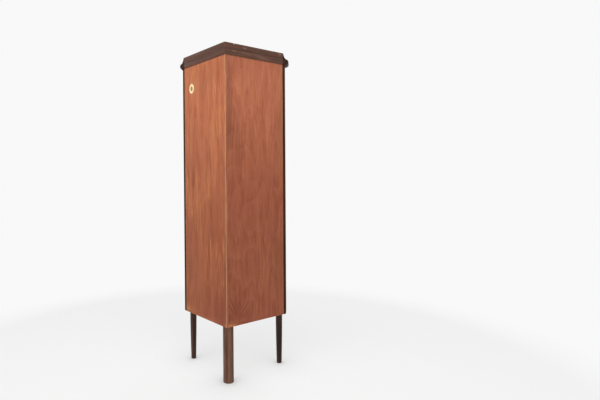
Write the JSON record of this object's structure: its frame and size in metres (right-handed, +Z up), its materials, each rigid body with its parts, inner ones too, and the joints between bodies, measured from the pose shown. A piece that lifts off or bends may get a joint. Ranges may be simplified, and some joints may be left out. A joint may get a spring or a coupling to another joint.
{
  "type": "corner display cabinet",
  "caption": "Tall free-standing corner display cabinet: right-angled back, moulded cornice, glazed door with lock and key, glass shelves, round wooden legs.",
  "frame": {"origin": "centre of the bounding box at floor level, between the rear corner and the front of the cornice", "axes": "+Z up; the front with its door faces -Y and the right-angled rear corner points to +Y; +X is to the right of someone who looks at the front"},
  "size_m": [0.643, 0.3935, 1.8],
  "materials": {
    "panel_ply": "red-brown stained and varnished plywood with straight grain",
    "dark_wood": "dark brown stained hardwood, satin varnish",
    "inner_wood": "plain mid-brown wood, thin varnish",
    "clear_glass": "clear polished float glass",
    "brass": "satin brass",
    "steel": "worn bright steel",
    "label_paper": "aged cream paper, blank"
  },
  "bodies": {
    "carcass": {"back_panel_right": "panel_ply", "back_panel_left": "panel_ply", "side_post_right": "dark_wood", "side_post_left": "dark_wood", "front_rail_bottom": "dark_wood", "front_rail_top": "dark_wood", "cornice_band_right": "dark_wood", "cornice_band_left": "dark_wood", "cornice_moulding_front": "dark_wood", "cornice_moulding_right": "dark_wood", "cornice_moulding_left": "dark_wood", "cornice_top_board": "dark_wood", "rear_leg": "dark_wood", "front_leg_right": "dark_wood", "front_leg_left": "dark_wood", "corner_post": "inner_wood", "bottom_board": "inner_wood", "ceiling_board": "inner_wood", "door_stop_strip": "inner_wood", "cornice_bearer": "inner_wood", "shelf_low": "clear_glass", "shelf_middle": "clear_glass", "shelf_high": "clear_glass", "shelf_pin_low_rear": "brass", "shelf_pin_low_right": "brass", "shelf_pin_low_left": "brass", "shelf_pin_middle_rear": "brass", "shelf_pin_middle_right": "brass", "shelf_pin_middle_left": "brass", "shelf_pin_high_rear": "brass", "shelf_pin_high_right": "brass", "shelf_pin_high_left": "brass", "hinge_low_post_leaf": "brass", "hinge_low_pin": "steel", "hinge_middle_post_leaf": "brass", "hinge_middle_pin": "steel", "hinge_high_post_leaf": "brass", "hinge_high_pin": "steel", "strike_plate": "brass", "blank_label": "label_paper"},
    "door": {"door_stile_hinge": "dark_wood", "door_stile_lock": "dark_wood", "door_rail_top": "dark_wood", "door_rail_bottom": "dark_wood", "glazing_bead_top": "dark_wood", "glazing_bead_bottom": "dark_wood", "glazing_bead_right": "dark_wood", "glazing_bead_left": "dark_wood", "door_glass": "clear_glass", "hinge_low_door_leaf": "brass", "hinge_middle_door_leaf": "brass", "hinge_high_door_leaf": "brass", "lock_case": "steel", "lock_cover": "steel", "lock_screw_inner": "steel", "lock_screw_outer": "steel", "escutcheon": "brass"},
    "key": {"key": "steel"},
    "lock_bolt": {"lock_bolt": "steel"}
  },
  "joints": [
    {"name": "door_swing", "type": "hinge", "parent": "carcass", "child": "door", "pos_m": [-0.27325, -0.17807, 1.019], "axis": [0, 0, -1], "range_deg": [0, 135]},
    {"name": "key_turn", "type": "hinge", "parent": "door", "child": "key", "pos_m": [0.255, -0.17327, 0.99196], "axis": [0, 1, 0], "range_deg": [0, 360]},
    {"name": "bolt_slide", "type": "slide", "parent": "door", "child": "lock_bolt", "axis": [1, 0, 0], "range_m": [0, 0.008]}
  ],
  "couplings": [
    {"joint": "bolt_slide", "follows": "key_turn", "m_per_rad": 0.0012732}
  ]
}
